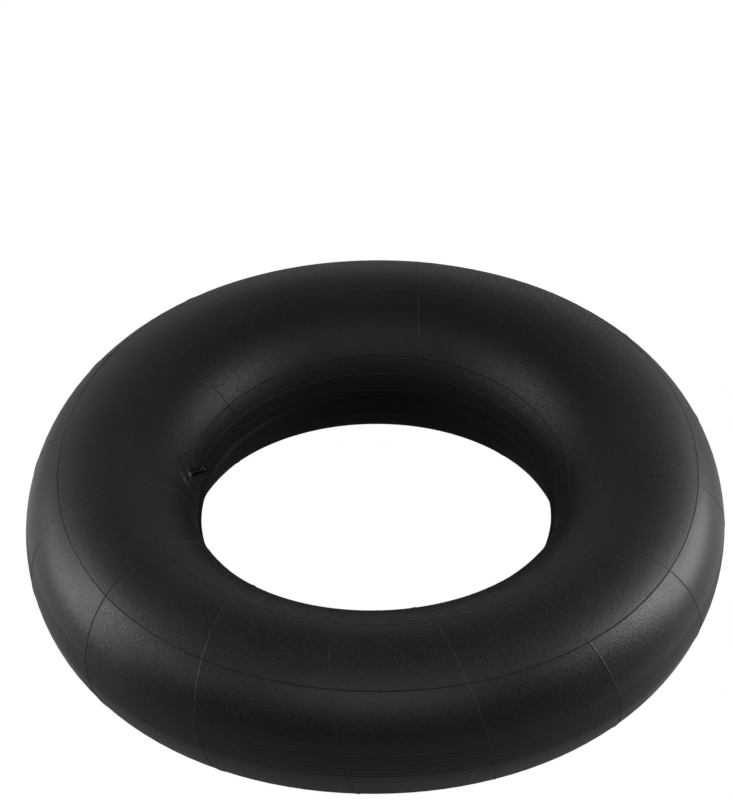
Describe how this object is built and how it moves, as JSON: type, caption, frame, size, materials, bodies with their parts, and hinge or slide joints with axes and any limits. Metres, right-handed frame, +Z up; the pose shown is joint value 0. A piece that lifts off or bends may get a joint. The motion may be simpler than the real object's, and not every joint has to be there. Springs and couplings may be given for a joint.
{
  "type": "snow tube",
  "caption": "Round inflated black rubber ring for sliding on snow, with a short rubber stem valve on its inner wall under a screw cap.",
  "frame": {"origin": "centre of the ring on the floor that it lies on", "axes": "+Z up along the ring's axis; the valve stands on the inner wall at -X and points to +X and up"},
  "size_m": [1.016, 1.016, 0.251],
  "materials": {
    "butyl": "moulded butyl rubber, satin, with a faint dry bloom",
    "patch_rubber": "matt cured rubber patch",
    "stem_rubber": "smooth moulded rubber",
    "brass": "turned brass",
    "core_brass": "turned brass, bright",
    "packing": "slippery packing ring",
    "seal_rubber": "matt rubber seal",
    "spring_steel": "drawn spring wire",
    "cap_plastic": "moulded plastic, satin"
  },
  "bodies": {
    "tube": {"tube_shell": "butyl", "valve_patch": "patch_rubber", "valve_stem_rubber": "stem_rubber", "valve_insert": "brass", "core_plug": "core_brass", "core_barrel": "core_brass", "core_gasket": "packing", "core_spring": "spring_steel"},
    "plunger": {"core_pin": "core_brass", "core_cup": "core_brass", "core_cup_seal": "seal_rubber"},
    "cap_disc": {"cap_gasket": "seal_rubber"},
    "cap": {"valve_cap": "cap_plastic"}
  },
  "joints": [
    {"name": "cap_lift", "type": "slide", "parent": "tube", "child": "cap_disc", "axis": [0.9011, 0, 0.4337], "range_m": [0, 0.00714]},
    {"name": "cap_turn", "type": "hinge", "parent": "cap_disc", "child": "cap", "pos_m": [-0.26942, 0, 0.17992], "axis": [0.9011, 0, 0.4337], "range_deg": [0, 3240]},
    {"name": "plunger_press", "type": "slide", "parent": "tube", "child": "plunger", "axis": [-0.9011, 0, -0.4337], "range_m": [0, 0.0012], "stiffness_N_per_m": 800, "springref_m": -0.002, "deforming": ["core_spring"]}
  ],
  "couplings": [
    {"joint": "cap_turn", "follows": "cap_lift", "rad_per_m": 7913.3}
  ]
}
